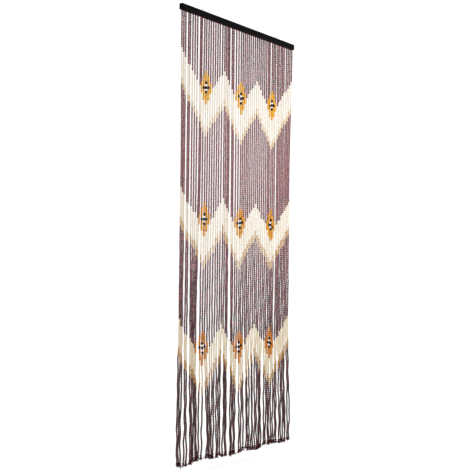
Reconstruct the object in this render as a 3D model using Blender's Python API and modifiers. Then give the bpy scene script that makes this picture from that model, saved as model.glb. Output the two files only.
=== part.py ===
"""Bead door curtain: a painted batten with two screw eyes, and the strings that hang from it.

Metres, +Z up. The curtain hangs in the XZ plane and faces -Y. The origin is where hooks would
carry it: midway between the two eyes, level with the tops of their openings.
"""

import math
from collections import namedtuple

import bmesh
import bpy

MM = 0.001

# Rail: a batten with softened edges and a stopped groove along its underside
RAIL_LENGTH = 0.900
RAIL_DEPTH = 0.018
RAIL_HEIGHT = 0.027
RAIL_EDGE = 0.0012
RAIL_EDGE_STEPS = 2
GROOVE_LENGTH = 0.892
GROOVE_WIDTH = 0.0062
GROOVE_HEIGHT = 0.006

# Screw eyes: wire bent to a ring on a neck, turned into a pilot hole in the rail's top
EYE_SPREAD = 0.590
EYE_RING_RADIUS = 0.005
EYE_WIRE_RADIUS = 0.0009
EYE_WIRE_STEPS = 2
EYE_RISE = 0.011
EYE_NECK_BEND = 0.0018
EYE_RING_START = math.radians(-56)
EYE_RING_END = math.radians(246)
EYE_RING_STEPS = 26
PILOT_DEPTH = 0.012
PILOT_SIDES = 12

# Strings: four-sided bars, somewhat slimmer than the beads threaded on them
STRING_COUNT = 55
STRING_SPAN = 0.880
STRING_LENGTH = 1.963
STRING_SIDE = 0.0064
STRIP_HEIGHT = 0.004
# A bar's thickness where it enters the groove, as a share of its side
HEAD_THICKNESS = 0.8

# Pieces that touch are parted by the fit gap, and cutters run past the faces that they open
FIT_GAP = 0.0003
CUT_MARGIN = 0.002
WELD_WITHIN = 1e-6

STRING_PITCH = STRING_SPAN / (STRING_COUNT - 1)
EYE_CENTRE = -(EYE_RING_RADIUS - EYE_WIRE_RADIUS)
RAIL_TOP = EYE_CENTRE - EYE_RISE
RAIL_UNDERSIDE = RAIL_TOP - RAIL_HEIGHT
EYE_PLACES = (("left", -EYE_SPREAD / 2), ("right", EYE_SPREAD / 2))

# Knot and tail under a string's last bead: how far down, and how thick as a share of the bar
FootStation = namedtuple("FootStation", "down thickness")
FOOT = (
    FootStation(down=0.0012, thickness=1.18),
    FootStation(down=0.0088, thickness=1.18),
    FootStation(down=0.0105, thickness=0.85),
    FootStation(down=0.0260, thickness=1.18),
)

# Shares of the string's length at which a bar may bend, closer together towards the foot
UPPER_BENDS = (0.005, 0.09, 0.18, 0.27, 0.36, 0.44, 0.51, 0.57, 0.62, 0.66)
LOWER_BENDS = (0.70, 0.74, 0.78, 0.82, 0.86, 0.90, 0.935, 0.97, 1.0)

# Levels, as shares of a string's length, and how far aside of their even places the strings hang there,
# in millimetres. Between the strings given here it is read by straight lines
WAIST = 0.70
Level = namedtuple("Level", "name share")
LEVELS = (Level("rail", 0.0), Level("upper", 0.36), Level("waist", WAIST), Level("foot", 1.0))
Aside = namedtuple("Aside", "string rail upper waist foot")
ASIDE = (
    Aside(string=0, rail=-1, upper=7, waist=7, foot=0),
    Aside(string=2, rail=-6, upper=-4, waist=-5, foot=-7),
    Aside(string=3, rail=-2, upper=-1, waist=-2, foot=2),
    Aside(string=4, rail=-6, upper=-7, waist=-6, foot=-2),
    Aside(string=5, rail=-5, upper=-4, waist=0, foot=11),
    Aside(string=7, rail=-5, upper=-3, waist=-14, foot=0),
    Aside(string=8, rail=1, upper=-1, waist=-21, foot=-6),
    Aside(string=9, rail=-5, upper=-8, waist=-27, foot=-12),
    Aside(string=10, rail=-3, upper=-8, waist=-12, foot=-13),
    Aside(string=11, rail=-4, upper=-6, waist=-10, foot=-6),
    Aside(string=12, rail=-3, upper=-6, waist=-10, foot=15),
    Aside(string=13, rail=-3, upper=-5, waist=-10, foot=9),
    Aside(string=16, rail=-1, upper=-3, waist=-3, foot=-5),
    Aside(string=17, rail=-1, upper=-3, waist=-3, foot=0),
    Aside(string=18, rail=2, upper=-1, waist=-2, foot=-2),
    Aside(string=19, rail=2, upper=3, waist=-2, foot=-2),
    Aside(string=21, rail=-3, upper=-2, waist=-4, foot=-2),
    Aside(string=22, rail=-9, upper=-7, waist=-9, foot=-7),
    Aside(string=23, rail=-5, upper=0, waist=6, foot=10),
    Aside(string=24, rail=-8, upper=-5, waist=0, foot=4),
    Aside(string=25, rail=-3, upper=-1, waist=1, foot=-1),
    Aside(string=26, rail=0, upper=2, waist=0, foot=-6),
    Aside(string=27, rail=2, upper=5, waist=2, foot=15),
    Aside(string=31, rail=0, upper=0, waist=-2, foot=7),
    Aside(string=32, rail=0, upper=0, waist=-2, foot=14),
    Aside(string=34, rail=3, upper=1, waist=-2, foot=6),
    Aside(string=35, rail=4, upper=1, waist=-1, foot=12),
    Aside(string=41, rail=3, upper=2, waist=-3, foot=3),
    Aside(string=42, rail=-1, upper=-1, waist=-4, foot=1),
    Aside(string=43, rail=4, upper=-1, waist=-5, foot=-2),
    Aside(string=45, rail=1, upper=-3, waist=-10, foot=0),
    Aside(string=46, rail=2, upper=2, waist=-4, foot=-2),
    Aside(string=47, rail=0, upper=-2, waist=-7, foot=-4),
    Aside(string=48, rail=0, upper=-4, waist=-10, foot=9),
    Aside(string=50, rail=-4, upper=-9, waist=-14, foot=5),
    Aside(string=51, rail=0, upper=-11, waist=-16, foot=4),
    Aside(string=54, rail=0, upper=-20, waist=-20, foot=0),
)

# Strings that stray below the waist and cross a neighbour in front of it or behind it, in millimetres
Stray = namedtuple("Stray", "string along depth")
STRAYS = (
    Stray(string=19, along=10, depth=9),
    Stray(string=20, along=-9, depth=-9),
    Stray(string=30, along=9, depth=-10),
    Stray(string=33, along=-9, depth=-10),
    Stray(string=39, along=-9, depth=10),
    Stray(string=52, along=8, depth=9),
)

# How far below the even line a string ends, in millimetres, read by straight lines between the rows
FootLevel = namedtuple("FootLevel", "string lower")
FOOT_LEVELS = (
    FootLevel(string=0, lower=-1),
    FootLevel(string=3, lower=9),
    FootLevel(string=5, lower=4),
    FootLevel(string=8, lower=-7),
    FootLevel(string=13, lower=-7),
    FootLevel(string=15, lower=1),
    FootLevel(string=21, lower=0),
    FootLevel(string=24, lower=7),
    FootLevel(string=28, lower=1),
    FootLevel(string=31, lower=-7),
    FootLevel(string=34, lower=3),
    FootLevel(string=37, lower=8),
    FootLevel(string=41, lower=-7),
    FootLevel(string=46, lower=-4),
    FootLevel(string=50, lower=3),
    FootLevel(string=54, lower=-2),
)

# How each string hangs on its own: a sine of golden angles, which are unlike from one string to the
# next, and of the way down. Waves grow from none at the rail to their size, in millimetres, at the foot
Wave = namedtuple("Wave", "size length turns")
SIDE_WAVES = (Wave(size=0.7, length=0.34, turns=3),)
DEPTH_WAVES = (Wave(size=1.8, length=0.71, turns=2), Wave(size=1.6, length=0.29, turns=4))
HOLE_UNEVENNESS = Wave(size=0.5, length=math.inf, turns=5)
LENGTH_UNEVENNESS = Wave(size=2.0, length=math.inf, turns=7)
GOLDEN_ANGLE = math.pi * (3 - math.sqrt(5))
# Waves grow as this power of the share of the string's length
SLACK_POWER = 2.6

Finish = namedtuple("Finish", "name colour roughness metallic")
PAINTED_WOOD = Finish("painted_wood", colour=(0.012, 0.012, 0.014), roughness=0.45, metallic=0.0)
PLATED_STEEL = Finish("plated_steel", colour=(0.56, 0.56, 0.57), roughness=0.3, metallic=1.0)
DYED_WOOD = Finish("dyed_wood", colour=(0.055, 0.012, 0.02), roughness=0.4, metallic=0.0)


def new_material(finish):
    material = bpy.data.materials.new(finish.name)
    material.use_nodes = True
    shader = material.node_tree.nodes["Principled BSDF"]
    shader.inputs["Base Color"].default_value = (*finish.colour, 1.0)
    shader.inputs["Roughness"].default_value = finish.roughness
    shader.inputs["Metallic"].default_value = finish.metallic
    return material


def new_collection(name):
    collection = bpy.data.collections.new(name)
    bpy.context.scene.collection.children.link(collection)
    return collection


def hide_helper(helper):
    helper.hide_render = True
    helper.display_type = "WIRE"


def add_solid(name, collection, shape, centre):
    """An object at a place, from a bmesh that is freed here."""
    mesh = bpy.data.meshes.new(name)
    shape.to_mesh(mesh)
    shape.free()
    solid = bpy.data.objects.new(name, mesh)
    solid.location = centre
    collection.objects.link(solid)
    return solid


def add_box(name, collection, size, centre):
    shape = bmesh.new()
    bmesh.ops.create_cube(shape, size=1.0)
    bmesh.ops.scale(shape, vec=size, verts=shape.verts)
    return add_solid(name, collection, shape, centre)


def add_pilot_cutter(name, collection, x):
    shape = bmesh.new()
    bmesh.ops.create_cone(
        shape,
        cap_ends=True,
        segments=PILOT_SIDES,
        radius1=EYE_WIRE_RADIUS + FIT_GAP,
        radius2=EYE_WIRE_RADIUS + FIT_GAP,
        depth=PILOT_DEPTH + CUT_MARGIN,
    )
    return add_solid(name, collection, shape, (x, 0, RAIL_TOP - (PILOT_DEPTH - CUT_MARGIN) / 2))


def cut(piece, cutter):
    hide_helper(cutter)
    boolean = piece.modifiers.new(f"cut_{cutter.name}", "BOOLEAN")
    boolean.operation = "DIFFERENCE"
    boolean.object = cutter


def make_rail(parts, cutters):
    size = (RAIL_LENGTH, RAIL_DEPTH, RAIL_HEIGHT)
    rail = add_box("rail", parts, size, (0, 0, RAIL_TOP - RAIL_HEIGHT / 2))
    rail.data.materials.append(new_material(PAINTED_WOOD))
    edge = rail.modifiers.new("softened_edges", "BEVEL")
    edge.width = RAIL_EDGE
    edge.segments = RAIL_EDGE_STEPS
    groove_size = (GROOVE_LENGTH, GROOVE_WIDTH, GROOVE_HEIGHT + CUT_MARGIN)
    groove_centre = (0, 0, RAIL_UNDERSIDE + (GROOVE_HEIGHT - CUT_MARGIN) / 2)
    cut(rail, add_box("groove", cutters, groove_size, groove_centre))
    for side, x in EYE_PLACES:
        cut(rail, add_pilot_cutter(f"pilot_{side}", cutters, x))


def new_wire(name, radius, steps):
    curve = bpy.data.curves.new(name, "CURVE")
    curve.dimensions = "3D"
    curve.bevel_depth = radius
    curve.bevel_resolution = steps
    curve.use_fill_caps = True
    curve.twist_mode = "MINIMUM"
    return curve


def add_spline(curve, points):
    spline = curve.splines.new("POLY")
    spline.points.add(len(points) - 1)
    for target, point in zip(spline.points, points):
        target.co = (*point, 1.0)
    return spline


def eye_route():
    """The wire's middle line in the XZ plane, with the ring's centre at the origin."""
    foot = -(EYE_RISE + PILOT_DEPTH - FIT_GAP)
    neck = -(EYE_RING_RADIUS + EYE_NECK_BEND)
    route = [(0.0, 0.0, foot), (0.0, 0.0, -EYE_RISE), (0.0, 0.0, neck)]
    for step in range(EYE_RING_STEPS + 1):
        angle = EYE_RING_START + (EYE_RING_END - EYE_RING_START) * step / EYE_RING_STEPS
        route.append((EYE_RING_RADIUS * math.cos(angle), 0.0, EYE_RING_RADIUS * math.sin(angle)))
    return route


def make_screw_eye(parts, side, x, material):
    wire = new_wire(f"screw_eye_{side}", EYE_WIRE_RADIUS, EYE_WIRE_STEPS)
    add_spline(wire, eye_route())
    wire.materials.append(material)
    eye = bpy.data.objects.new(f"screw_eye_{side}", wire)
    eye.location = (x, 0.0, EYE_CENTRE)
    parts.objects.link(eye)


def read_table(rows, string, column):
    """A column at a string, by straight lines between the rows."""
    right = next(row for row in rows if row.string >= string)
    left = [row for row in rows if row.string <= string][-1]
    share = (string - left.string) / max(1, right.string - left.string)
    return getattr(left, column) * (1 - share) + getattr(right, column) * share


def ease(share):
    """A smooth rise from 0 to 1."""
    share = min(1.0, max(0.0, share))
    return share * share * (3 - 2 * share)


def aside(string, share):
    """How far aside of its even place a string hangs, eased from level to level, in millimetres."""
    lower = next(level for level in LEVELS[1:] if level.share >= share)
    upper = LEVELS[LEVELS.index(lower) - 1]
    way = ease((share - upper.share) / (lower.share - upper.share))
    return read_table(ASIDE, string, upper.name) * (1 - way) + read_table(ASIDE, string, lower.name) * way


def wave(kind, string, down=0.0):
    phase = kind.turns * string * GOLDEN_ANGLE
    return kind.size * math.sin(phase + 2 * math.pi * down / kind.length)


def string_length(string):
    level = read_table(FOOT_LEVELS, string, "lower")
    return STRING_LENGTH + MM * (level + wave(LENGTH_UNEVENNESS, string))


def string_place(string, share):
    """Where a string hangs, (x, y), at a share of its length down from the rail."""
    down = share * string_length(string)
    slack = share**SLACK_POWER
    x = aside(string, share) + wave(HOLE_UNEVENNESS, string)
    x += slack * sum(wave(kind, string, down) for kind in SIDE_WAVES)
    y = slack * sum(wave(kind, string, down) for kind in DEPTH_WAVES)
    for stray in STRAYS:
        if stray.string == string:
            below_waist = (share - WAIST) / (1 - WAIST)
            x += stray.along * ease(below_waist)
            y += stray.depth * ease(2 * below_waist)
    return (string - (STRING_COUNT - 1) / 2) * STRING_PITCH + MM * x, MM * y


def string_bar(string):
    """(x, y, z) and thickness of each station of a bar, from inside the strip to the tail's end."""
    length = string_length(string)
    strip_middle = RAIL_UNDERSIDE + GROOVE_HEIGHT - STRIP_HEIGHT / 2
    head = string_place(string, 0.0)
    stations = [((*head, strip_middle), HEAD_THICKNESS), ((*head, RAIL_UNDERSIDE), HEAD_THICKNESS)]
    for share in UPPER_BENDS + LOWER_BENDS:
        stations.append(((*string_place(string, share), RAIL_UNDERSIDE - share * length), 1.0))
    last_bead = RAIL_UNDERSIDE - length
    for foot in FOOT:
        stations.append(((*string_place(string, 1.0), last_bead - foot.down), foot.thickness))
    return stations


def make_string_bars(cutters):
    """All the bars as one mesh, their sides square to the rail."""
    curve = new_wire("string_lines", STRING_SIDE / math.sqrt(2), 0)
    for string in range(STRING_COUNT):
        stations = string_bar(string)
        spline = add_spline(curve, [place for place, _ in stations])
        for point, (_, thickness) in zip(spline.points, stations):
            point.radius = thickness
            point.tilt = math.pi / 4
    lines = bpy.data.objects.new("string_lines", curve)
    cutters.objects.link(lines)
    bpy.context.view_layer.update()
    graph = bpy.context.evaluated_depsgraph_get()
    mesh = bpy.data.meshes.new_from_object(lines.evaluated_get(graph))
    bpy.data.objects.remove(lines)
    shape = bmesh.new()
    shape.from_mesh(mesh)
    bpy.data.meshes.remove(mesh)
    bmesh.ops.remove_doubles(shape, verts=shape.verts, dist=WELD_WITHIN)
    bmesh.ops.recalc_face_normals(shape, faces=shape.faces)
    return add_solid("string_bars", cutters, shape, (0, 0, 0))


def make_strands(parts, cutters):
    strip_top = RAIL_UNDERSIDE + GROOVE_HEIGHT - FIT_GAP
    size = (GROOVE_LENGTH - 2 * FIT_GAP, GROOVE_WIDTH - 2 * FIT_GAP, STRIP_HEIGHT)
    strands = add_box("strands", parts, size, (0, 0, strip_top - STRIP_HEIGHT / 2))
    strands.data.materials.append(new_material(DYED_WOOD))
    bars = make_string_bars(cutters)
    hide_helper(bars)
    union = strands.modifiers.new("hang_strings", "BOOLEAN")
    union.operation = "UNION"
    union.object = bars


def main():
    for old in list(bpy.data.objects):
        bpy.data.objects.remove(old)
    parts = new_collection("bead_door_curtain")
    cutters = new_collection("cutters")
    make_rail(parts, cutters)
    steel = new_material(PLATED_STEEL)
    for side, x in EYE_PLACES:
        make_screw_eye(parts, side, x, steel)
    make_strands(parts, cutters)


main()
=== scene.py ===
"""Bead door curtain, dressed: oval wooden beads on knotted cords, under a painted batten.

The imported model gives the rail, the two screw eyes and the room that the strings fill. The strings'
routes repeat the part's own tables, so each string of beads hangs where its bar does. Metres, +Z up.
"""

import math
from collections import namedtuple

import bpy
import numpy as np
from bpy.props import FloatProperty, FloatVectorProperty, IntProperty, PointerProperty
from mathutils import Matrix, Vector


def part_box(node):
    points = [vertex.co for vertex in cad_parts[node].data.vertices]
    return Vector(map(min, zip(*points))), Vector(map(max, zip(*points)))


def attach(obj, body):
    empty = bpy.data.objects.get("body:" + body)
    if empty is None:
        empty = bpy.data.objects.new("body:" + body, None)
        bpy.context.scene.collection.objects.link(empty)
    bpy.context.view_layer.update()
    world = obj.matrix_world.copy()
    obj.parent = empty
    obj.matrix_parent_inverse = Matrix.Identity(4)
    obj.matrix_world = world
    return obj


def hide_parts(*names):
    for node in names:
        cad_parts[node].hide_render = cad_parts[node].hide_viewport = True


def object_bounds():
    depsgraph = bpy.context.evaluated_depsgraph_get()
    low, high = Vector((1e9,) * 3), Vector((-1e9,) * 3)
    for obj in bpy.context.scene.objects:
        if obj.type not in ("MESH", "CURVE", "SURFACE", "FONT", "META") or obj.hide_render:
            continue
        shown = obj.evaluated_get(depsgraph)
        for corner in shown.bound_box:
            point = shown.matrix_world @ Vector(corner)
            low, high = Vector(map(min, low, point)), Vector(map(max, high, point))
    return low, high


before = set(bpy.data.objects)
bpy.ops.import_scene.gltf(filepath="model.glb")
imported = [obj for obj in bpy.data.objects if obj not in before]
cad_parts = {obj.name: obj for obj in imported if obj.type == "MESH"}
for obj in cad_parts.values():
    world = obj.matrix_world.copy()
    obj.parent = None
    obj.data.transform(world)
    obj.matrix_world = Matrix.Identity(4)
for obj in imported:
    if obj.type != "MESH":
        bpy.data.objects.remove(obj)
CAD_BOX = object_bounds()

bl_info = {
    "name": "Bead Door Curtain",
    "version": (1, 0, 0),
    "blender": (4, 5, 0),
    "location": "View3D > Sidebar > Curtain",
    "description": "Threads the beads of a door curtain and finishes its rail and screw eyes",
    "category": "Object",
}

MM = 0.001

# The rail and the strings, as in the part
RAIL_HEIGHT = 0.027
GROOVE_LENGTH = 0.892
GROOVE_WIDTH = 0.0062
GROOVE_HEIGHT = 0.006
STRIP_HEIGHT = 0.004
FIT_GAP = 0.0003
STRING_COUNT = 55
STRING_SPAN = 0.880
STRING_LENGTH = 1.963
STRING_PITCH = STRING_SPAN / (STRING_COUNT - 1)

# The screw eyes, as in the part
EYE_RING_RADIUS = 0.005
EYE_WIRE_RADIUS = 0.0009
EYE_RISE = 0.011
EYE_NECK_BEND = 0.0018
EYE_RING_START = math.radians(-56)
EYE_RING_END = math.radians(246)
EYE_CENTRE = -(EYE_RING_RADIUS - EYE_WIRE_RADIUS)
EYE_PLACES = (("left", -0.295), ("right", 0.295))
PILOT_DEPTH = 0.012
RAIL_TOP = EYE_CENTRE - EYE_RISE
RAIL_UNDERSIDE = RAIL_TOP - RAIL_HEIGHT

# Levels, as shares of a string's length, and how far aside of their even places the strings hang there,
# in millimetres. Between the strings given here it is read by straight lines
WAIST = 0.70
Level = namedtuple("Level", "name share")
LEVELS = (Level("rail", 0.0), Level("upper", 0.36), Level("waist", WAIST), Level("foot", 1.0))
Aside = namedtuple("Aside", "string rail upper waist foot")
ASIDE = (
    Aside(string=0, rail=-1, upper=7, waist=7, foot=0),
    Aside(string=2, rail=-6, upper=-4, waist=-5, foot=-7),
    Aside(string=3, rail=-2, upper=-1, waist=-2, foot=2),
    Aside(string=4, rail=-6, upper=-7, waist=-6, foot=-2),
    Aside(string=5, rail=-5, upper=-4, waist=0, foot=11),
    Aside(string=7, rail=-5, upper=-3, waist=-14, foot=0),
    Aside(string=8, rail=1, upper=-1, waist=-21, foot=-6),
    Aside(string=9, rail=-5, upper=-8, waist=-27, foot=-12),
    Aside(string=10, rail=-3, upper=-8, waist=-12, foot=-13),
    Aside(string=11, rail=-4, upper=-6, waist=-10, foot=-6),
    Aside(string=12, rail=-3, upper=-6, waist=-10, foot=15),
    Aside(string=13, rail=-3, upper=-5, waist=-10, foot=9),
    Aside(string=16, rail=-1, upper=-3, waist=-3, foot=-5),
    Aside(string=17, rail=-1, upper=-3, waist=-3, foot=0),
    Aside(string=18, rail=2, upper=-1, waist=-2, foot=-2),
    Aside(string=19, rail=2, upper=3, waist=-2, foot=-2),
    Aside(string=21, rail=-3, upper=-2, waist=-4, foot=-2),
    Aside(string=22, rail=-9, upper=-7, waist=-9, foot=-7),
    Aside(string=23, rail=-5, upper=0, waist=6, foot=10),
    Aside(string=24, rail=-8, upper=-5, waist=0, foot=4),
    Aside(string=25, rail=-3, upper=-1, waist=1, foot=-1),
    Aside(string=26, rail=0, upper=2, waist=0, foot=-6),
    Aside(string=27, rail=2, upper=5, waist=2, foot=15),
    Aside(string=31, rail=0, upper=0, waist=-2, foot=7),
    Aside(string=32, rail=0, upper=0, waist=-2, foot=14),
    Aside(string=34, rail=3, upper=1, waist=-2, foot=6),
    Aside(string=35, rail=4, upper=1, waist=-1, foot=12),
    Aside(string=41, rail=3, upper=2, waist=-3, foot=3),
    Aside(string=42, rail=-1, upper=-1, waist=-4, foot=1),
    Aside(string=43, rail=4, upper=-1, waist=-5, foot=-2),
    Aside(string=45, rail=1, upper=-3, waist=-10, foot=0),
    Aside(string=46, rail=2, upper=2, waist=-4, foot=-2),
    Aside(string=47, rail=0, upper=-2, waist=-7, foot=-4),
    Aside(string=48, rail=0, upper=-4, waist=-10, foot=9),
    Aside(string=50, rail=-4, upper=-9, waist=-14, foot=5),
    Aside(string=51, rail=0, upper=-11, waist=-16, foot=4),
    Aside(string=54, rail=0, upper=-20, waist=-20, foot=0),
)

# Strings that stray below the waist and cross a neighbour in front of it or behind it, in millimetres
Stray = namedtuple("Stray", "string along depth")
STRAYS = (
    Stray(string=19, along=10, depth=9),
    Stray(string=20, along=-9, depth=-9),
    Stray(string=30, along=9, depth=-10),
    Stray(string=33, along=-9, depth=-10),
    Stray(string=39, along=-9, depth=10),
    Stray(string=52, along=8, depth=9),
)

# How far below the even line a string ends, in millimetres, at these strings
FOOT_LEVEL_STRINGS = (0, 3, 5, 8, 13, 15, 21, 24, 28, 31, 34, 37, 41, 46, 50, 54)
FOOT_LEVELS = (-1, 9, 4, -7, -7, 1, 0, 7, 1, -7, 3, 8, -7, -4, 3, -2)

# How each string hangs on its own: a sine of golden angles, which are unlike from one string to the
# next, and of the way down. Waves grow from none at the rail to their size, in millimetres, at the foot
Wave = namedtuple("Wave", "size length turns")
SIDE_WAVES = (Wave(size=0.7, length=0.34, turns=3),)
DEPTH_WAVES = (Wave(size=1.8, length=0.71, turns=2), Wave(size=1.6, length=0.29, turns=4))
HOLE_UNEVENNESS = Wave(size=0.5, length=math.inf, turns=5)
LENGTH_UNEVENNESS = Wave(size=2.0, length=math.inf, turns=7)
GOLDEN_ANGLE = math.pi * (3 - math.sqrt(5))
# Waves grow as this power of the share of the string's length
SLACK_POWER = 2.6
# Waves that only the beads follow, because they are too short for the part's bars
SIDE_WOBBLE = Wave(size=1.2, length=0.13, turns=8)
DEPTH_WOBBLE = Wave(size=1.8, length=0.10, turns=3)

# The pattern, in rows of beads down from the rail. Each band follows the troughs up and down again
ROW_COUNT = 201
TROUGHS = (11, 27, 43)
BAND_CENTRES = (32, 93, 152)
ROWS_PER_STRING = 2
BAND_TOP = 6
BAND_FEET = (22, 22, 21)
# How many rows the outermost strings' bands hang lower, and how many strings this reaches
EDGE_ROWS = (1, 3, 3)
EDGE_REACH = 8
RIM_ROWS = (3, 4, 4)
# The spindle over each trough: beads from its middle row outwards, on its middle string and beside it
SPINDLE = ("BWBAAAAA", "BAAAAA", "AAA")
SPINDLE_COLOURS = {"B": "black", "W": "white", "A": "amber"}
# Length of these beads, as a share of the others'
BEAD_ROOMS = {"black": 1.45, "white": 0.75}
# How far the bands' beads are shifted to their deep colours, from the top band down
CREAM_SHIFTS = (0.0, 0.25, 1.0)
WARM_SHIFTS = (0.0, 0.5, 1.0)
# Down from the rail: rows of beads, and how far the ground is shifted to its deep colour there, which towards
# the foot is painted shade
MAROON_ROWS = (0, 60, 120, 180)
MAROON_SHIFTS = (0.42, 0.02, 0.50, 0.95)
# The ground's beads are joined into this many pieces, side by side
MAROON_PIECES = 5

# A bead's outline as heights and radii, as shares of its length and of its width
BEAD_OUTLINE = ((-0.5, 0.26), (-0.37, 0.45), (0.0, 0.5), (0.37, 0.45), (0.5, 0.26))

# Beads widen towards the foot as this power of the way down
WIDENING_POWER = 2

# Knot and tail, as lengths below the last bead
KNOT_TOP = 0.0004
KNOT_FOOT = 0.0098
TAIL_END = 0.0268
KNOT_TURNS = 3.2
KNOT_STEPS = 34
KNOT_SIDES = 6
# Half the thickness of the knotted cords, as a share of the knot's width
KNOT_PLY = 0.16
# A knot swells over the first of this many parts of its turns, and narrows over the last
KNOT_PARTS = 5
# Width of the slimmest knot, as a share of the widest one's
SLIMMEST_KNOT = 0.88

# Locks of a tail: how far each is turned from its even place, as a share of the room between two, and
# how far it leans and how long it is, as shares of the most. The first lock is the longest
LOCK_TURN = 0.4
LOCK_LEANS = (0.1, 1.0)
LOCK_LENGTHS = (0.35, 0.95)

# Threads of a lock: turn, lean and length that each has of its own
THREAD_TURN = 0.3
THREAD_LEANS = (-0.12, 0.0)
THREAD_LENGTHS = (0.8, 1.0)
# How far a thread starts inside the knot, and how far from the middle, as a share of its width
THREAD_HOLD = 0.001
THREAD_STAND = 0.8
# A thread bends outwards as this power of the way down, curls by this angle and thins to this share
THREAD_FLARE = 1.6
THREAD_CURL = 0.9
THREAD_TIP = 0.55
THREAD_STEPS = 6
THREAD_SIDES = 3

# Cords inside the beads, and the strip of their heads in the groove
CORD_STEPS = 26
CORD_SIDES = 6
STRIP_STEPS = 6
STRIP_SIDES = 12
# The strip's section is a circle whose sine and cosine are taken to this power, and so nearly square
STRIP_POWER = 0.5
# How much slimmer the strip is at its narrowest places, as a share of its width
STRIP_HOLLOW = 0.10

# The wire of a screw eye, whose tip is drawn thin
WIRE_SIDES = 12
SHANK_STEPS = 6
RING_STEPS = 27
TIP_LENGTH = 0.003
TIP_THICKNESS = 0.25

# The screw thread: a ridge that winds up the shank, from a little above its tip
RIDGE_RADIUS = 0.00024
RIDGE_RISE = 0.0022
RIDGE_PITCH = 0.0011
RIDGE_SIDES = 4
RIDGE_STEPS = 12
# Radius of the ridge's middle line, as a share of the wire's
RIDGE_REACH = 0.98

# How each colour of bead is lacquered: base roughness, shine of the dyed wood, how far beads differ in
# colour, and how thick the clear lacquer is
Polish = namedtuple("Polish", "colour gloss shine spread lacquer")
POLISHES = (
    Polish("maroon", gloss=0.34, shine=0.15, spread=1.0, lacquer=1.0),
    Polish("cream", gloss=0.36, shine=0.30, spread=0.5, lacquer=0.0),
    Polish("tan", gloss=0.36, shine=0.30, spread=0.5, lacquer=0.0),
    Polish("amber", gloss=0.32, shine=0.20, spread=0.5, lacquer=0.0),
    Polish("black", gloss=0.30, shine=0.12, spread=0.5, lacquer=0.0),
    Polish("white", gloss=0.38, shine=0.30, spread=0.5, lacquer=0.0),
)

# Noise of the surfaces, in waves per metre along each axis
WOOD_GRAIN = (700.0, 700.0, 90.0)
THREAD_FLUFF = (900.0, 900.0, 500.0)
BRUSH_STROKES = (9.0, 700.0, 700.0)
PAINT_PORES = (60.0, 1500.0, 1500.0)
# Patches where the edges' paint is lightened, by rubbing and as a painted highlight
RUBBED_AND_SHEEN_PATCHES = (14.0, 60.0, 60.0)
WIRE_SCRATCHES = (2600.0, 2600.0, 260.0)
PLATING_PATCHES = (420.0, 420.0, 420.0)
FLOOR_CLOUDS = (1.5, 1.5, 1.5)
# How fast the plies of a thread follow one another along it and across it, in radians per metre
PLY_RISE = 5200.0
PLY_TURN = 3200.0

# The stage, in metres, but the camera's sensor in millimetres
SENSOR_WIDTH = 36.0
FLOOR_REACH = 9.0
FLOOR_HAZE = (0.93, 0.93, 0.93)
KEY_SOFTNESS = math.radians(30)
KEY_TURN = (math.radians(48), 0.0, math.radians(-62))
FILL_SIZE = 1.2
FILL_PLACE = Vector((0.35, -0.95, -0.7))
FILL_TARGET = Vector((0.46, 0.0, -0.7))


# Settings


def length_setting(name, description, default):
    return FloatProperty(
        name=name, description=description, default=default, min=0.0, subtype="DISTANCE", unit="LENGTH"
    )


def colour_setting(name, description, default):
    return FloatVectorProperty(
        name=name, description=description, default=default, size=3, min=0.0, max=1.0, subtype="COLOR"
    )


class BeadSettings(bpy.types.PropertyGroup):
    top_width: length_setting("Top width", "Width of a bead at its middle, under the rail", 0.0086)
    foot_width: length_setting("Foot width", "Width of a bead at its middle, at the foot", 0.0089)
    spindle_width: length_setting("Spindle bead width", "Width of an amber or black bead", 0.0114)
    fill: FloatProperty(
        name="Fill",
        description="Length of a bead as a share of the room that it has on its cord",
        default=0.975,
        min=0.5,
        max=1.0,
        subtype="FACTOR",
    )
    sides: IntProperty(name="Sides", description="Sides of a bead", default=7, min=5, max=8)
    width_spread: FloatProperty(
        name="Width spread",
        description="How far beads differ in width, as a share of it",
        default=0.035,
        min=0.0,
        max=0.2,
        subtype="FACTOR",
    )
    length_spread: FloatProperty(
        name="Length spread",
        description="How far beads differ in length, as a share of it",
        default=0.10,
        min=0.0,
        max=0.3,
        subtype="FACTOR",
    )
    side_spread: length_setting("Side spread", "How far beads sit off their cord's line", 0.0003)
    tilt_spread: FloatProperty(
        name="Tilt spread",
        description="How far beads lean from their cord's line",
        default=math.radians(2.0),
        min=0.0,
        max=math.radians(10.0),
        subtype="ANGLE",
    )
    seed: IntProperty(name="Seed", description="Start of the beads' unevenness", default=55, min=0)


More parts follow.
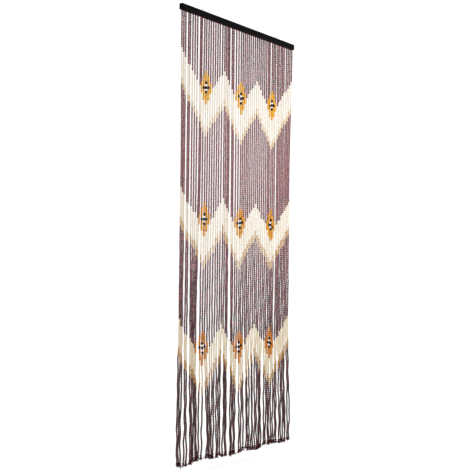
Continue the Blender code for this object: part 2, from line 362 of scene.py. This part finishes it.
class ColourSettings(bpy.types.PropertyGroup):
    maroon: colour_setting("Maroon", "Dyed beads of the ground", (0.205, 0.057, 0.064))
    # Deep maroon also serves as painted shade at the foot, where the ground is shifted most
    maroon_deep: colour_setting("Deep maroon", "Darkest dyed beads of the ground", (0.030, 0.010, 0.012))
    cream: colour_setting("Cream", "Beads of the upper bands", (0.68, 0.625, 0.55))
    cream_deep: colour_setting("Deep cream", "Beads of the lowest band", (0.58, 0.485, 0.345))
    tan: colour_setting("Tan", "Rim of the top band", (0.58, 0.44, 0.275))
    tan_deep: colour_setting("Deep tan", "Rim of the lowest band", (0.33, 0.17, 0.038))
    amber: colour_setting("Amber", "Spindles of the top band", (0.64, 0.335, 0.018))
    amber_deep: colour_setting("Deep amber", "Spindles of the lowest band", (0.43, 0.135, 0.001))
    black: colour_setting("Black", "Dark beads of the spindles' checks", (0.020, 0.009, 0.009))
    black_deep: colour_setting("Deep black", "Darkest of these beads", (0.010, 0.004, 0.004))
    white: colour_setting("White", "Light beads of the spindles' checks", (0.84, 0.83, 0.80))
    white_deep: colour_setting("Deep white", "Dullest of these beads", (0.70, 0.68, 0.62))
    cord: colour_setting("Cord", "Twisted thread, knots and tails", (0.038, 0.005, 0.007))
    paint: colour_setting("Paint", "Paint of the rail", (0.0012, 0.0010, 0.0013))
    # Lighter bluish paint along the edges, partly from rubbing and partly a painted highlight
    rubbed_paint: colour_setting("Rubbed paint", "Paint along the rail's edges", (0.020, 0.019, 0.026))
    steel: colour_setting("Steel", "Plated wire of the screw eyes", (0.56, 0.56, 0.57))


class CordSettings(bpy.types.PropertyGroup):
    width: length_setting("Cord width", "Width of the cord between beads", 0.0012)
    knot_width: length_setting("Knot width", "Width of the knot under each string", 0.0122)
    thread_width: length_setting("Thread width", "Width of one thread of a frayed tail", 0.0030)
    threads: IntProperty(name="Threads", description="Threads of a frayed tail", default=36, min=3, max=60)
    locks: IntProperty(
        name="Locks", description="Locks that these threads cling together in", default=9, min=1, max=12
    )
    fray: length_setting("Fray", "How far the threads of a tail spread", 0.0105)


class StudioSettings(bpy.types.PropertyGroup):
    camera_place: FloatVectorProperty(
        name="Camera place",
        description="Where the camera stands",
        default=(-3.5914, -2.6312, -1.2232),
        size=3,
        subtype="TRANSLATION",
        unit="LENGTH",
    )
    azimuth: FloatProperty(
        name="Azimuth",
        description="Which side the camera sees, 0 for the front",
        default=math.radians(-53.517),
        subtype="ANGLE",
    )
    elevation: FloatProperty(
        name="Elevation",
        description="How far the camera looks down",
        default=math.radians(-2.706),
        subtype="ANGLE",
    )
    roll: FloatProperty(
        name="Roll",
        description="How far the camera is turned about its own line of sight",
        default=math.radians(0.613),
        subtype="ANGLE",
    )
    lens: FloatProperty(
        name="Lens", description="Focal length on a 36 mm sensor, in millimetres", default=72.474, min=1.0
    )
    floor_drop: length_setting("Floor drop", "How far the floor lies below the tails", 0.06)
    floor: colour_setting("Floor", "Colour of the floor", (0.98, 0.98, 0.98))
    sky: FloatProperty(name="Sky", description="Strength of the light from all round", default=1.13, min=0.0)
    sun: FloatProperty(
        name="Sun", description="Strength of the soft light from the left", default=0.4, min=0.0
    )
    fill: FloatProperty(
        name="Fill",
        description="Power of the soft light in front of the right side, in watts",
        default=12.0,
        min=0.0,
    )


class CurtainSettings(bpy.types.PropertyGroup):
    beads: PointerProperty(type=BeadSettings)
    colours: PointerProperty(type=ColourSettings)
    cords: PointerProperty(type=CordSettings)
    studio: PointerProperty(type=StudioSettings)


# Shading


class Link:
    """An output of a material's nodes; arithmetic on it adds the Math nodes that work it out."""

    def __init__(self, shading, socket):
        self.shading = shading
        self.socket = socket

    def maths(self, operation, *values):
        sockets = dict(enumerate(values))
        return self.shading.add("ShaderNodeMath", {"operation": operation}, sockets)

    def __add__(self, other):
        return self.maths("ADD", self, other)

    def __radd__(self, other):
        return self.maths("ADD", other, self)

    def __sub__(self, other):
        return self.maths("SUBTRACT", self, other)

    def __rsub__(self, other):
        return self.maths("SUBTRACT", other, self)

    def __mul__(self, other):
        return self.maths("MULTIPLY", self, other)

    def __truediv__(self, other):
        return self.maths("DIVIDE", self, other)

    def __abs__(self):
        return self.maths("ABSOLUTE", self)

    def least(self, other):
        return self.maths("MINIMUM", self, other)

    def sine(self):
        return self.maths("SINE", self)

    def within(self, low, high):
        """0 below low, 1 above high and smooth between."""
        settings = {"interpolation_type": "SMOOTHSTEP", "clamp": True}
        sockets = {"Value": self, "From Min": low, "From Max": high}
        return self.shading.add("ShaderNodeMapRange", settings, sockets)


class Shading:
    """The nodes of one material, around its Principled shader."""

    def __init__(self, name, fixed=None):
        self.material = bpy.data.materials.new(name)
        self.material.use_nodes = True
        self.tree = self.material.node_tree
        self.shader = self.tree.nodes["Principled BSDF"]
        for socket, value in (fixed or {}).items():
            self.shader.inputs[socket].default_value = value

    def add(self, kind, settings=None, sockets=None, output=0):
        """A node of a kind, with its settings and then its sockets' values or links."""
        node = self.tree.nodes.new(kind)
        for name, value in (settings or {}).items():
            setattr(node, name, value)
        for name, value in (sockets or {}).items():
            self.fill(node.inputs[name], value)
        return Link(self, node.outputs[output])

    def fill(self, socket, value):
        if isinstance(value, Link):
            self.tree.links.new(value.socket, socket)
        elif socket.type == "RGBA":
            socket.default_value = (*value, 1.0)
        else:
            socket.default_value = value

    def blend(self, factor, first, second):
        """A colour between two colours."""
        sockets = {0: factor, 6: first, 7: second}
        return self.add("ShaderNodeMix", {"data_type": "RGBA", "clamp_factor": True}, sockets, output=2)

    def place(self):
        return self.add("ShaderNodeTexCoord", output="Object")

    def along(self, axis):
        return self.add("ShaderNodeSeparateXYZ", None, {"Vector": self.place()}, output=axis)

    def value(self, name):
        """A number that the mesh holds at each of its points."""
        return self.add("ShaderNodeAttribute", {"attribute_name": name}, output="Fac")

    def grain(self, scale, detail=3.0):
        """Noise in waves per metre along each axis."""
        settings = {"vector_type": "POINT"}
        stretched = self.add("ShaderNodeMapping", settings, {"Vector": self.place(), "Scale": scale})
        sockets = {"Vector": stretched, "Scale": 1.0, "Detail": detail, "Roughness": 0.55}
        return self.add("ShaderNodeTexNoise", None, sockets)

    def finish(self, colour, roughness, height=None, bump=0.3, depth=0.0001):
        """Links what varies over the surface to the shader."""
        self.fill(self.shader.inputs["Base Color"], colour)
        self.fill(self.shader.inputs["Roughness"], roughness)
        if height is not None:
            sockets = {"Strength": bump, "Distance": depth, "Height": height}
            self.fill(self.shader.inputs["Normal"], self.add("ShaderNodeBump", None, sockets))
        return self.material


def scaled(colour, factor):
    return tuple(min(1.0, factor * part) for part in colour)


def bead_finish(polish, colour, deep):
    """Dyed and lacquered wood: grain along the bead, beads unlike each other, and ends darker from pooled dye
    and painted shade.
    """
    fixed = {"Specular IOR Level": polish.shine, "Coat Roughness": 0.25}
    shading = Shading(f"{polish.colour}_lacquered_wood", fixed)
    shift = shading.value("shift")
    if polish.lacquer:
        # The further a bead is shifted to its deep colour, by dye and by the painted shade at the foot, the
        # thinner the lacquer
        shading.fill(shading.shader.inputs["Coat Weight"], (1.0 - shift) * polish.lacquer)
    tone = (shading.value("tone") - 0.5) * polish.spread
    grain = shading.grain(WOOD_GRAIN)
    veins = grain.within(0.42, 0.70) * 0.30
    ends = shading.value("end").within(0.72, 1.0)
    # For the maroon ground the shift also darkens the beads towards the foot, as painted shade
    dyed = shading.blend(shift + tone, colour, deep)
    veined = shading.blend(veins, dyed, scaled(deep, 0.45))
    # Bead ends are darkened partly as dye pooled at the holes and partly as painted shade where beads meet
    marks_and_painted_light = shading.blend(ends * 0.45, veined, scaled(deep, 0.35))
    roughness = polish.gloss + grain * 0.16 + ends * 0.15
    return shading.finish(marks_and_painted_light, roughness, grain, bump=0.25, depth=0.00015)


def cord_finish(name, colour):
    """Twisted waxed thread: slanting plies, with a little fluff."""
    shading = Shading(name, {"Specular IOR Level": 0.1})
    slant = shading.along(2) * PLY_RISE + (shading.along(0) + shading.along(1)) * PLY_TURN
    plies = slant.sine() * 0.5 + 0.5
    fluff = shading.grain(THREAD_FLUFF)
    lightness = plies * 0.55 + fluff * 0.35
    base = shading.blend(lightness, scaled(colour, 0.5), scaled(colour, 1.8))
    return shading.finish(base, 0.72 + fluff * 0.2, plies + fluff, bump=0.5, depth=0.0001)


def paint_finish(colour, rubbed_and_sheen, low, high):
    """Satin paint brushed along straight-grained wood, lighter and bluish along the rail's edges from rubbing
    and a painted highlight.
    """
    shading = Shading("brushed_rail_paint", {"Specular IOR Level": 0.02})
    strokes = shading.grain(BRUSH_STROKES, detail=4.0)
    pores = shading.grain(PAINT_PORES, detail=2.0)
    patches = shading.grain(RUBBED_AND_SHEEN_PATCHES)
    middle, half = (low + high) / 2, (high - low) / 2
    across = abs(shading.along(1) - middle.y) / half.y
    upright = abs(shading.along(2) - middle.z) / half.z
    # Lighter bluish paint along the long edges: partly rubbing, partly a painted highlight
    edge_wear_and_sheen = across.least(upright).within(0.86, 0.99) * patches.within(0.38, 0.62)
    base = shading.blend(strokes.within(0.45, 0.80), colour, scaled(colour, 5.0))
    marks_and_painted_light = shading.blend(edge_wear_and_sheen * 0.8, base, rubbed_and_sheen)
    roughness = 0.34 + strokes * 0.16 + edge_wear_and_sheen * 0.12 + patches * 0.06
    return shading.finish(marks_and_painted_light, roughness, strokes * 0.7 + pores * 0.5, bump=0.35, depth=0.00025)


def steel_finish(colour):
    """Zinc plating on drawn wire: fine scratches and dull patches."""
    shading = Shading("plated_wire", {"Metallic": 1.0})
    scratches = shading.grain(WIRE_SCRATCHES)
    dull = shading.grain(PLATING_PATCHES)
    base = shading.blend(dull.within(0.35, 0.70), colour, scaled(colour, 0.62))
    return shading.finish(base, 0.22 + scratches * 0.14 + dull * 0.12, scratches, bump=0.2, depth=0.00005)


# Strings' routes


def ease(share):
    """A smooth rise from 0 to 1."""
    share = np.clip(share, 0.0, 1.0)
    return share * share * (3 - 2 * share)


def aside(string, share):
    """How far aside of its even place a string hangs, eased from level to level, in millimetres."""
    given = [row.string for row in ASIDE]
    places = [np.interp(string, given, [getattr(row, level.name) for row in ASIDE]) for level in LEVELS]
    steps = np.arange(len(LEVELS))
    step = np.interp(share, [level.share for level in LEVELS], steps)
    return np.interp(np.floor(step) + ease(step % 1), steps, places)


def wave(kind, string, down=0.0):
    phase = kind.turns * string * GOLDEN_ANGLE
    return kind.size * np.sin(phase + 2 * math.pi * down / kind.length)


def string_length(string):
    level = np.interp(string, FOOT_LEVEL_STRINGS, FOOT_LEVELS)
    return STRING_LENGTH + MM * (level + wave(LENGTH_UNEVENNESS, string))


def string_route(string, share):
    """Points of a string, at shares of its length down from the rail."""
    down = share * string_length(string)
    slack = share**SLACK_POWER
    x = aside(string, share) + wave(HOLE_UNEVENNESS, string)
    x = x + slack * sum(wave(kind, string, down) for kind in (*SIDE_WAVES, SIDE_WOBBLE))
    y = slack * sum(wave(kind, string, down) for kind in (*DEPTH_WAVES, DEPTH_WOBBLE))
    for stray in STRAYS:
        if stray.string == string:
            below_waist = (share - WAIST) / (1 - WAIST)
            x = x + stray.along * ease(below_waist)
            y = y + stray.depth * ease(2 * below_waist)
    middle = (string - (STRING_COUNT - 1) / 2) * STRING_PITCH
    return np.stack([middle + MM * x, MM * y, RAIL_UNDERSIDE - down], axis=-1)


def bead_colour(string, row):
    """Which bead hangs in a row of a string, and how far its colour is shifted to the deep one."""
    trough = min(TROUGHS, key=lambda place: abs(string - place))
    from_trough = abs(string - trough)
    for band, centre in enumerate(BAND_CENTRES):
        from_centre = abs(row - centre)
        if from_trough < len(SPINDLE) and from_centre < len(SPINDLE[from_trough]):
            return SPINDLE_COLOURS[SPINDLE[from_trough][from_centre]], WARM_SHIFTS[band]
        from_edge = min(string, STRING_COUNT - 1 - string)
        lower = round(EDGE_ROWS[band] * max(0.0, 1 - from_edge / EDGE_REACH))
        level = centre + lower - ROWS_PER_STRING * from_trough
        top, foot = level + BAND_TOP, level + BAND_FEET[band]
        if top <= row <= foot:
            if row > foot - RIM_ROWS[band]:
                return "tan", WARM_SHIFTS[band]
            return "cream", CREAM_SHIFTS[band]
    return "maroon", float(np.interp(row, MAROON_ROWS, MAROON_SHIFTS))


# Meshes


def ring_faces(rings, sides):
    """Sides between the rings of a closed form, and its two ends."""
    faces = []
    for ring in range(rings - 1):
        for side in range(sides):
            following = (side + 1) % sides
            low, high = ring * sides, (ring + 1) * sides
            faces.append((low + side, low + following, high + following, high + side))
    faces.append(tuple(reversed(range(sides))))
    faces.append(tuple(range((rings - 1) * sides, rings * sides)))
    return faces


def add_piece(name, vertices, faces, material, replaced, values=None):
    """A piece of the object from plain arrays, smooth but for its end faces."""
    mesh = bpy.data.meshes.new(name)
    mesh.from_pydata(np.asarray(vertices, float).tolist(), [], faces)
    mesh.polygons.foreach_set("use_smooth", [len(face) == 4 for face in faces])
    for label, numbers in (values or {}).items():
        attribute = mesh.attributes.new(label, "FLOAT", "POINT")
        attribute.data.foreach_set("value", np.asarray(numbers, np.float32))
    mesh.materials.append(material)
    mesh.update()
    piece = bpy.data.objects.new(name, mesh)
    bpy.context.scene.collection.objects.link(piece)
    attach(piece, "root")
    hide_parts(*replaced)


class Tubes:
    """Closed tubes along routes, gathered into one mesh."""

    def __init__(self):
        self.vertices = []
        self.faces = []

    def add(self, route, radii, sides):
        route = np.asarray(route, float)
        radii = np.broadcast_to(radii, len(route))
        ahead = np.gradient(route, axis=0)
        ahead /= np.linalg.norm(ahead, axis=1)[:, None]
        sideways = np.cross(ahead[0], (0.0, 1.0, 0.0) if abs(ahead[0][1]) < 0.9 else (1.0, 0.0, 0.0))
        angles = np.arange(sides) * 2 * math.pi / sides
        first = len(self.vertices)
        for point, radius, forward in zip(route, radii, ahead):
            sideways = sideways - forward * (sideways @ forward)
            sideways /= np.linalg.norm(sideways)
            across = np.cross(forward, sideways)
            ring = np.outer(np.cos(angles), sideways) + np.outer(np.sin(angles), across)
            self.vertices.extend(point + radius * ring)
        self.faces.extend(
            tuple(first + corner for corner in face) for face in ring_faces(len(route), sides)
        )


def smooth_route(points, rounds):
    """A route with its corners cut, round after round."""
    route = np.asarray(points, float)
    for _ in range(rounds):
        near = route[:-1] * 0.75 + route[1:] * 0.25
        far = route[:-1] * 0.25 + route[1:] * 0.75
        between = np.stack([near, far], axis=1).reshape(-1, 3)
        route = np.vstack([route[:1], between, route[-1:]])
    return route


def bead_arrays(places, axes, lengths, widths, rolls, sides):
    """Vertices of closed oval beads, one ring after another."""
    level = np.cross(axes, (0.0, 1.0, 0.0))
    level /= np.linalg.norm(level, axis=1)[:, None]
    across = np.cross(axes, level)
    heights = np.repeat([height for height, _ in BEAD_OUTLINE], sides)
    radii = np.repeat([radius for _, radius in BEAD_OUTLINE], sides)
    angles = np.tile(np.arange(sides) * 2 * math.pi / sides, len(BEAD_OUTLINE))
    turned = angles[None, :] + rolls[:, None]
    spread = radii[None, :] * widths[:, None]
    along = heights[None, :] * lengths[:, None]
    return (
        places[:, None, :]
        + (spread * np.cos(turned))[:, :, None] * level[:, None, :]
        + (spread * np.sin(turned))[:, :, None] * across[:, None, :]
        + along[:, :, None] * axes[:, None, :]
    )


Beads = namedtuple("Beads", "strings colours places axes lengths widths rolls tones shifts")


def thread_beads(settings):
    """Every bead of the curtain: where it hangs, how it lies and what it is."""
    chance = np.random.default_rng(settings.seed)
    strings, colours, shifts, places, axes = [], [], [], [], []
    for string in range(STRING_COUNT):
        kinds = [bead_colour(string, row) for row in range(ROW_COUNT)]
        rooms = np.array([BEAD_ROOMS.get(colour, 1.0) for colour, _ in kinds])
        rooms *= 1 + settings.length_spread * chance.uniform(-1, 1, ROW_COUNT)
        share = np.append(0.0, np.cumsum(rooms) / np.sum(rooms))
        route = string_route(string, share)
        places.append((route[:-1] + route[1:]) / 2)
        axes.append(route[:-1] - route[1:])
        strings.extend([string] * ROW_COUNT)
        colours.extend(colour for colour, _ in kinds)
        shifts.extend(shift for _, shift in kinds)
    places, axes = np.concatenate(places), np.concatenate(axes)
    rooms = np.linalg.norm(axes, axis=1)
    axes /= rooms[:, None]
    count = len(places)
    lean = math.tan(settings.tilt_spread) * chance.uniform(-1, 1, (count, 2))
    axes[:, :2] += lean
    axes /= np.linalg.norm(axes, axis=1)[:, None]
    places[:, :2] += settings.side_spread * chance.uniform(-1, 1, (count, 2))
    colours = np.array(colours)
    lower = np.tile(np.linspace(0.0, 1.0, ROW_COUNT) ** WIDENING_POWER, STRING_COUNT)
    widths = settings.top_width + (settings.foot_width - settings.top_width) * lower
    widths = np.where(np.isin(colours, ("amber", "black")), settings.spindle_width, widths)
    return Beads(
        strings=np.array(strings),
        colours=colours,
        places=places,
        axes=axes,
        lengths=rooms * settings.fill,
        widths=widths * (1 + settings.width_spread * chance.uniform(-1, 1, count)),
        rolls=chance.uniform(0, 2 * math.pi, count),
        tones=chance.uniform(0, 1, count),
        shifts=np.array(shifts),
    )


def add_beads(name, beads, chosen, material, sides):
    """The chosen beads as one piece."""
    vertices = bead_arrays(
        beads.places[chosen],
        beads.axes[chosen],
        beads.lengths[chosen],
        beads.widths[chosen],
        beads.rolls[chosen],
        sides,
    )
    count, corners = vertices.shape[:2]
    pattern = ring_faces(len(BEAD_OUTLINE), sides)
    faces = [
        tuple(corner + bead * corners for corner in face) for bead in range(count) for face in pattern
    ]
    ends = np.abs(np.repeat([height for height, _ in BEAD_OUTLINE], sides)) * 2
    values = {
        "tone": np.repeat(beads.tones[chosen], corners),
        "shift": np.repeat(beads.shifts[chosen], corners),
        "end": np.tile(ends, count),
    }
    add_piece(name, vertices.reshape(-1, 3), faces, material, ("strands",), values)


def knot_route(top, width, ply, phase):
    """Turns of the cords round themselves, from their own line out and back again."""
    share = np.linspace(0.0, 1.0, KNOT_STEPS)
    swell = np.sin(np.clip(share * KNOT_PARTS, 0, 1) * math.pi / 2)
    narrowing = np.sin(np.clip((1 - share) * KNOT_PARTS, 0, 1) * math.pi / 2)
    radius = (width / 2 - ply) * swell * narrowing
    angle = phase + share * KNOT_TURNS * 2 * math.pi
    down = KNOT_TOP + ply + share * (KNOT_FOOT - KNOT_TOP - 2 * ply)
    return np.stack(
        [top[0] + radius * np.cos(angle), top[1] + radius * np.sin(angle), top[2] - down], axis=-1
    )


def tail_routes(top, settings, chance):
    """Threads of a frayed tail, from inside the knot, in locks that lean and end alike."""
    locks = settings.locks
    lock_turns = np.arange(locks) + chance.uniform(-LOCK_TURN, LOCK_TURN, locks)
    lock_angles = 2 * math.pi * lock_turns / locks
    lock_leans = chance.uniform(*LOCK_LEANS, locks)
    lock_lengths = np.append(1.0, chance.uniform(*LOCK_LENGTHS, locks - 1))
    share = np.linspace(0.0, 1.0, THREAD_STEPS)
    for thread in range(settings.threads):
        lock = thread % locks
        angle = lock_angles[lock] + chance.uniform(-THREAD_TURN, THREAD_TURN)
        spread = settings.fray * np.clip(lock_leans[lock] + chance.uniform(*THREAD_LEANS), 0.0, 1.0)
        end = KNOT_FOOT + (TAIL_END - KNOT_FOOT) * lock_lengths[lock] * chance.uniform(*THREAD_LENGTHS)
        out = settings.thread_width * THREAD_STAND + spread * share**THREAD_FLARE
        curl = angle + THREAD_CURL * share
        down = KNOT_FOOT - THREAD_HOLD + share * (end - KNOT_FOOT + THREAD_HOLD)
        yield np.stack([top[0] + out * np.cos(curl), top[1] + out * np.sin(curl), top[2] - down], axis=-1)


# Operators


class CURTAIN_OT_stage(bpy.types.Operator):
    """Sets up the camera, the floor and the soft light"""

    bl_idname = "curtain.stage"
    bl_label = "Set Up Stage"
    bl_options = {"REGISTER", "UNDO"}

    def execute(self, context):
        studio = context.scene.bead_curtain.studio
        self.add_camera(context, studio)
        self.add_floor(context, studio)
        self.add_light(context, studio)
        context.scene.view_settings.view_transform = "Standard"
        return {"FINISHED"}

    def add_camera(self, context, studio):
        azimuth, elevation = studio.azimuth, studio.elevation
        back = Vector(
            (
                math.sin(azimuth) * math.cos(elevation),
                -math.cos(azimuth) * math.cos(elevation),
                math.sin(elevation),
            )
        )
        level = Vector((math.cos(azimuth), math.sin(azimuth), 0.0))
        upward = back.cross(level)
        right = math.cos(studio.roll) * level + math.sin(studio.roll) * upward
        top = math.cos(studio.roll) * upward - math.sin(studio.roll) * level
        data = bpy.data.cameras.new("front_left_camera")
        data.lens = studio.lens
        data.sensor_width = SENSOR_WIDTH
        camera = bpy.data.objects.new("front_left_camera", data)
        turned = Matrix((right, top, back)).transposed().to_4x4()
        camera.matrix_world = Matrix.Translation(studio.camera_place) @ turned
        context.scene.collection.objects.link(camera)
        context.scene.camera = camera

    def add_floor(self, context, studio):
        level = CAD_BOX[0].z - studio.floor_drop
        corners = [(x * FLOOR_REACH, y * FLOOR_REACH, level) for x, y in ((-1, -1), (1, -1), (1, 1), (-1, 1))]
        mesh = bpy.data.meshes.new("floor")
        mesh.from_pydata(corners, [], [(0, 1, 2, 3)])
        shading = Shading("pale_floor", {"Specular IOR Level": 0.1})
        haze = shading.grain(FLOOR_CLOUDS)
        tint = shading.blend(haze * 0.04, tuple(studio.floor), FLOOR_HAZE)
        mesh.materials.append(shading.finish(tint, 0.8 + haze * 0.1))
        floor = bpy.data.objects.new("floor", mesh)
        context.scene.collection.objects.link(floor)

    def add_light(self, context, studio):
        world = bpy.data.worlds.new("white_studio")
        world.use_nodes = True
        background = world.node_tree.nodes["Background"]
        background.inputs["Color"].default_value = (1.0, 1.0, 1.0, 1.0)
        background.inputs["Strength"].default_value = studio.sky
        context.scene.world = world
        data = bpy.data.lights.new("soft_key", "SUN")
        data.energy = studio.sun
        data.angle = KEY_SOFTNESS
        key = bpy.data.objects.new("soft_key", data)
        key.rotation_euler = KEY_TURN
        context.scene.collection.objects.link(key)
        data = bpy.data.lights.new("right_fill", "AREA")
        data.shape = "DISK"
        data.size = FILL_SIZE
        data.energy = studio.fill
        fill = bpy.data.objects.new("right_fill", data)
        turned = (FILL_PLACE - FILL_TARGET).to_track_quat("Z", "Y").to_matrix().to_4x4()
        fill.matrix_world = Matrix.Translation(FILL_PLACE) @ turned
        fill.visible_camera = False
        context.scene.collection.objects.link(fill)


class CURTAIN_OT_rail(bpy.types.Operator):
    """Paints the rail"""

    bl_idname = "curtain.rail"
    bl_label = "Paint Rail"
    bl_options = {"REGISTER", "UNDO"}

    def execute(self, context):
        colours = context.scene.bead_curtain.colours
        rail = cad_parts["rail"]
        finish = paint_finish(tuple(colours.paint), tuple(colours.rubbed_paint), *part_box("rail"))
        if not rail.material_slots:
            rail.data.materials.append(finish)
        rail.material_slots[0].material = finish
        return {"FINISHED"}


class CURTAIN_OT_screw_eyes(bpy.types.Operator):
    """Bends the two screw eyes from plated wire and cuts their threads"""

    bl_idname = "curtain.screw_eyes"
    bl_label = "Bend Screw Eyes"
    bl_options = {"REGISTER", "UNDO"}

    def execute(self, context):
        steel = steel_finish(tuple(context.scene.bead_curtain.colours.steel))
        for side, x in EYE_PLACES:
            tubes = Tubes()
            route = smooth_route(self.wire_route(), rounds=2)
            taper = np.clip((route[:, 2] - route[0, 2]) / TIP_LENGTH, TIP_THICKNESS, 1.0)
            tubes.add(route, EYE_WIRE_RADIUS * taper, WIRE_SIDES)
            tubes.add(self.ridge_route(), RIDGE_RADIUS, RIDGE_SIDES)
            vertices = np.array(tubes.vertices) + (x, 0.0, EYE_CENTRE)
            add_piece(
                f"screw_eye_wire_{side}", vertices, tubes.faces, steel, (f"screw_eye_{side}",)
            )
        return {"FINISHED"}

    def wire_route(self):
        """The wire's middle line, with the ring's centre at the origin."""
        foot = -(EYE_RISE + PILOT_DEPTH - FIT_GAP)
        neck = -(EYE_RING_RADIUS + EYE_NECK_BEND)
        route = [(0.0, 0.0, foot + step * PILOT_DEPTH / SHANK_STEPS) for step in range(SHANK_STEPS)]
        route += [(0.0, 0.0, -EYE_RISE), (0.0, 0.0, (neck - EYE_RISE) / 2), (0.0, 0.0, neck)]
        for angle in np.linspace(EYE_RING_START, EYE_RING_END, RING_STEPS):
            route.append((EYE_RING_RADIUS * math.cos(angle), 0.0, EYE_RING_RADIUS * math.sin(angle)))
        return route

    def ridge_route(self):
        """The thread's ridge, which runs a little way out of the wood."""
        low, high = -(EYE_RISE + PILOT_DEPTH - RIDGE_RISE), -(EYE_RISE - RIDGE_RISE)
        turns = (high - low) / RIDGE_PITCH
        angles = np.linspace(0.0, turns * 2 * math.pi, int(turns * RIDGE_STEPS))
        heights = np.linspace(low, high, len(angles))
        reach = EYE_WIRE_RADIUS * RIDGE_REACH
        return np.stack([reach * np.cos(angles), reach * np.sin(angles), heights], axis=-1)


class CURTAIN_OT_cords(bpy.types.Operator):
    """Lays the strip in the rail's groove, hangs the cords and ties their knots"""

    bl_idname = "curtain.cords"
    bl_label = "Hang Cords"
    bl_options = {"REGISTER", "UNDO"}

    def execute(self, context):
        settings = context.scene.bead_curtain
        finish = cord_finish("twisted_cord", tuple(settings.colours.cord))
        self.hang_cords(settings.cords, finish)
        self.tie_knots(settings.cords, finish)
        self.lay_strip(finish)
        return {"FINISHED"}

    def hang_cords(self, settings, finish):
        tubes = Tubes()
        share = np.linspace(0.0, 1.0, CORD_STEPS)
        for string in range(STRING_COUNT):
            route = string_route(string, share)
            head = route[0] + (0.0, 0.0, GROOVE_HEIGHT - STRIP_HEIGHT / 2)
            foot = route[-1] - (0.0, 0.0, KNOT_FOOT)
            tubes.add(np.vstack([head, route, foot]), settings.width / 2, CORD_SIDES)
        add_piece("cords", tubes.vertices, tubes.faces, finish, ("strands",))

    def tie_knots(self, settings, finish):
        chance = np.random.default_rng(STRING_COUNT)
        tubes = Tubes()
        ply = KNOT_PLY * settings.knot_width
        for string in range(STRING_COUNT):
            top = string_route(string, np.array([1.0]))[0]
            width = settings.knot_width * chance.uniform(SLIMMEST_KNOT, 1.0)
            route = knot_route(top, width, ply, chance.uniform(0, 2 * math.pi))
            tubes.add(route, ply, KNOT_SIDES)
            for thread in tail_routes(top, settings, chance):
                taper = np.linspace(1.0, THREAD_TIP, len(thread))
                tubes.add(thread, settings.thread_width / 2 * taper, THREAD_SIDES)
        add_piece("knots_and_tails", tubes.vertices, tubes.faces, finish, ("strands",))

    def lay_strip(self, finish):
        """The cords' stitched heads, side by side in the groove."""
        top = RAIL_UNDERSIDE + GROOVE_HEIGHT - FIT_GAP
        half = np.array([GROOVE_WIDTH / 2 - FIT_GAP, STRIP_HEIGHT / 2])
        ends = GROOVE_LENGTH / 2 - FIT_GAP
        places = np.linspace(-ends, ends, STRING_COUNT * STRIP_STEPS + 1)
        angles = (np.arange(STRIP_SIDES) + 0.5) * 2 * math.pi / STRIP_SIDES
        rounded = np.stack([np.cos(angles), np.sin(angles)], axis=-1)
        rounded = np.sign(rounded) * np.abs(rounded) ** STRIP_POWER
        vertices = []
        for x in places:
            bulge = 1 - STRIP_HOLLOW * (0.5 + 0.5 * math.cos(2 * math.pi * x / STRING_PITCH))
            ring = rounded * half * bulge
            vertices.extend((x, y, top - half[1] + z) for y, z in ring)
        faces = ring_faces(len(places), STRIP_SIDES)
        add_piece("cord_strip", vertices, faces, finish, ("strands",))


class CURTAIN_OT_beads(bpy.types.Operator):
    """Threads the beads in their pattern"""

    bl_idname = "curtain.beads"
    bl_label = "Thread Beads"
    bl_options = {"REGISTER", "UNDO"}

    def execute(self, context):
        settings = context.scene.bead_curtain
        beads = thread_beads(settings.beads)
        group = beads.strings * MAROON_PIECES // STRING_COUNT
        sides = settings.beads.sides
        for polish in POLISHES:
            colour = polish.colour
            fresh = tuple(getattr(settings.colours, colour))
            deep = tuple(getattr(settings.colours, f"{colour}_deep"))
            finish = bead_finish(polish, fresh, deep)
            chosen = beads.colours == colour
            if colour == "maroon":
                for part in range(MAROON_PIECES):
                    name = f"maroon_beads_{part + 1}"
                    add_beads(name, beads, chosen & (group == part), finish, sides)
            else:
                add_beads(f"{colour}_beads", beads, chosen, finish, sides)
        return {"FINISHED"}


class CURTAIN_PT_sidebar(bpy.types.Panel):
    """Lists the curtain's pieces and their settings"""

    bl_idname = "CURTAIN_PT_sidebar"
    bl_label = "Bead Door Curtain"
    bl_space_type = "VIEW_3D"
    bl_region_type = "UI"
    bl_category = "Curtain"

    def draw(self, context):
        for operator in OPERATORS:
            self.layout.operator(operator.bl_idname)
        settings = context.scene.bead_curtain
        for group in (settings.beads, settings.colours, settings.cords, settings.studio):
            box = self.layout.box()
            for name in group.__annotations__:
                box.prop(group, name)


OPERATORS = (
    CURTAIN_OT_stage,
    CURTAIN_OT_rail,
    CURTAIN_OT_screw_eyes,
    CURTAIN_OT_cords,
    CURTAIN_OT_beads,
)
CLASSES = (
    BeadSettings,
    ColourSettings,
    CordSettings,
    StudioSettings,
    CurtainSettings,
    *OPERATORS,
    CURTAIN_PT_sidebar,
)


def register():
    for kind in CLASSES:
        bpy.utils.register_class(kind)
    bpy.types.Scene.bead_curtain = PointerProperty(type=CurtainSettings)


def unregister():
    del bpy.types.Scene.bead_curtain
    for kind in reversed(CLASSES):
        bpy.utils.unregister_class(kind)


def main():
    register()
    bpy.ops.curtain.stage()
    bpy.ops.curtain.rail()
    bpy.ops.curtain.screw_eyes()
    bpy.ops.curtain.cords()
    bpy.ops.curtain.beads()


if __name__ == "__main__":
    main()
